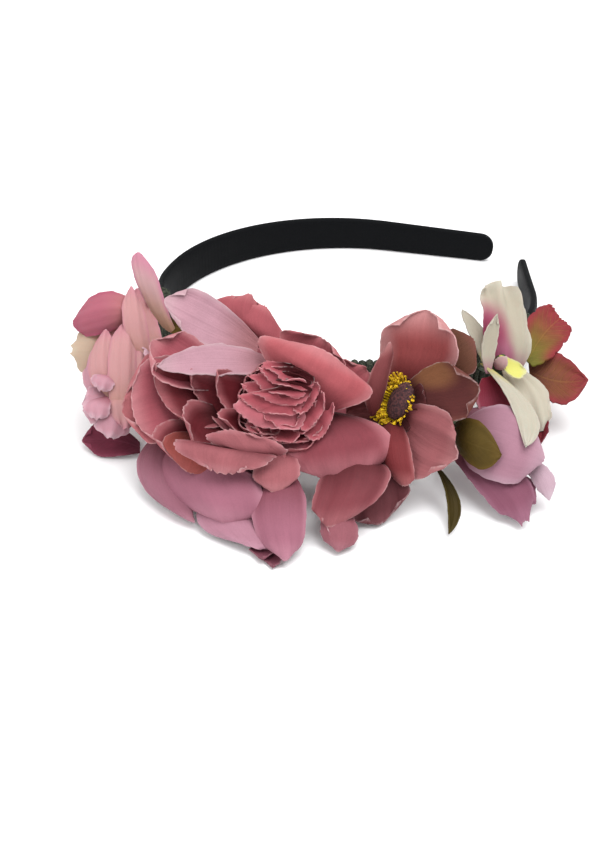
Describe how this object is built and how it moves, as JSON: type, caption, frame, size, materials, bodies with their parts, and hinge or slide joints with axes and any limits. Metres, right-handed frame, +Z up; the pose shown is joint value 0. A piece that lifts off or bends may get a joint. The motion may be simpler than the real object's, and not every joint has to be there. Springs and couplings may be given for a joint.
{
  "type": "flower crown",
  "caption": "Ribbon-covered hairband laid on its edge, one half bound with silk flowers and leaves on wired stems; its two ends spread to fit a head.",
  "frame": {"origin": "centre of the loop that the head fills, in the plane of the band's lower edge", "axes": "+Z up across the band's width, as it lies on its edge; +X from the closed end of the loop towards its two tips; +Y from the flowers towards the bare leg"},
  "size_m": [0.1691, 0.2011, 0.0594],
  "materials": {
    "black_plastic": "satin",
    "black_satin": "woven satin with a soft sheen",
    "green_chenille": "fuzzy knitted cord",
    "stem_green": "matte",
    "rose_silk": "matte woven petal cloth",
    "pale_rose_silk": "matte woven petal cloth",
    "lilac_silk": "smooth petal cloth",
    "blush_silk": "smooth petal cloth",
    "cream_silk": "smooth petal cloth",
    "magenta_silk": "smooth petal cloth",
    "plum_silk": "smooth petal cloth",
    "olive_silk": "smooth leaf cloth",
    "red_edged_silk": "smooth leaf cloth, green in the middle",
    "stamen_yellow": "matte",
    "disc_brown": "matte"
  },
  "bodies": {
    "crown": {"band_core_crown": "black_plastic", "bud_petal_cream": "cream_silk", "bud_petal_rose": "rose_silk", "front_bloom_calyx": "stem_green", "front_bloom_inner_petals": "lilac_silk", "front_bloom_outer_petals": "lilac_silk", "front_bloom_stem": "stem_green", "left_flower_calyx": "stem_green", "left_flower_guard_petals": "blush_silk", "left_flower_middle_petals": "blush_silk", "left_flower_ruffle_petals": "blush_silk", "left_flower_stem": "stem_green", "low_rose_calyx": "stem_green", "low_rose_inner_petals": "rose_silk", "low_rose_outer_petals": "rose_silk", "low_rose_stem": "stem_green", "olive_leaf_back": "olive_silk", "olive_leaf_broad": "olive_silk", "olive_leaf_wire": "stem_green", "open_flower_back_petals": "rose_silk", "open_flower_calyx": "stem_green", "open_flower_disc": "disc_brown", "open_flower_front_petals": "rose_silk", "open_flower_stamens": "stamen_yellow", "open_flower_stem": "stem_green", "orchid_calyx": "stem_green", "orchid_column": "stamen_yellow", "orchid_lip": "magenta_silk", "orchid_petals": "cream_silk", "orchid_sepals": "cream_silk", "orchid_stem": "stem_green", "peony_calyx": "stem_green", "peony_guard_petals": "pale_rose_silk", "peony_heart_petals": "rose_silk", "peony_inner_petals": "rose_silk", "peony_middle_petals": "rose_silk", "peony_outer_petals": "rose_silk", "peony_stem": "stem_green", "plum_leaf": "plum_silk", "ribbon_crown": "black_satin", "right_bloom_calyx": "stem_green", "right_bloom_inner_petals": "lilac_silk", "right_bloom_outer_petals": "lilac_silk", "right_bloom_stem": "stem_green", "stem_wrap": "green_chenille"},
    "far_leg": {"band_core_far_leg": "black_plastic", "ribbon_far_leg": "black_satin", "ribbon_end_far": "black_satin"},
    "near_tip": {"band_core_near_tip": "black_plastic", "ribbon_near_tip": "black_satin", "ribbon_end_near": "black_satin"},
    "leaf_sprig": {"sprig_stem": "stem_green", "sprig_leaf_upper": "red_edged_silk", "sprig_leaf_lower": "red_edged_silk", "sprig_leaf_small": "plum_silk"},
    "narrow_leaf": {"olive_leaf_narrow": "olive_silk"}
  },
  "joints": [
    {"name": "far_leg_flex", "type": "hinge", "parent": "crown", "child": "far_leg", "pos_m": [-0.06492, 0.01969, 0.007], "axis": [0, 0, 1], "range_deg": [-2, 30], "stiffness_Nm_per_rad": 0.4},
    {"name": "near_tip_flex", "type": "hinge", "parent": "crown", "child": "near_tip", "pos_m": [0.06664, -0.01464, 0.008], "axis": [0, 0, -1], "range_deg": [-2, 18], "stiffness_Nm_per_rad": 0.3},
    {"name": "leaf_sprig_bend", "type": "hinge", "parent": "crown", "child": "leaf_sprig", "pos_m": [0.0565, -0.04, 0.012], "axis": [0, 0, 1], "range_deg": [-4, 14]},
    {"name": "narrow_leaf_bend", "type": "hinge", "parent": "crown", "child": "narrow_leaf", "pos_m": [0.0218, -0.1003, 0.008], "axis": [0, 0, 1], "range_deg": [-8, 12]}
  ]
}
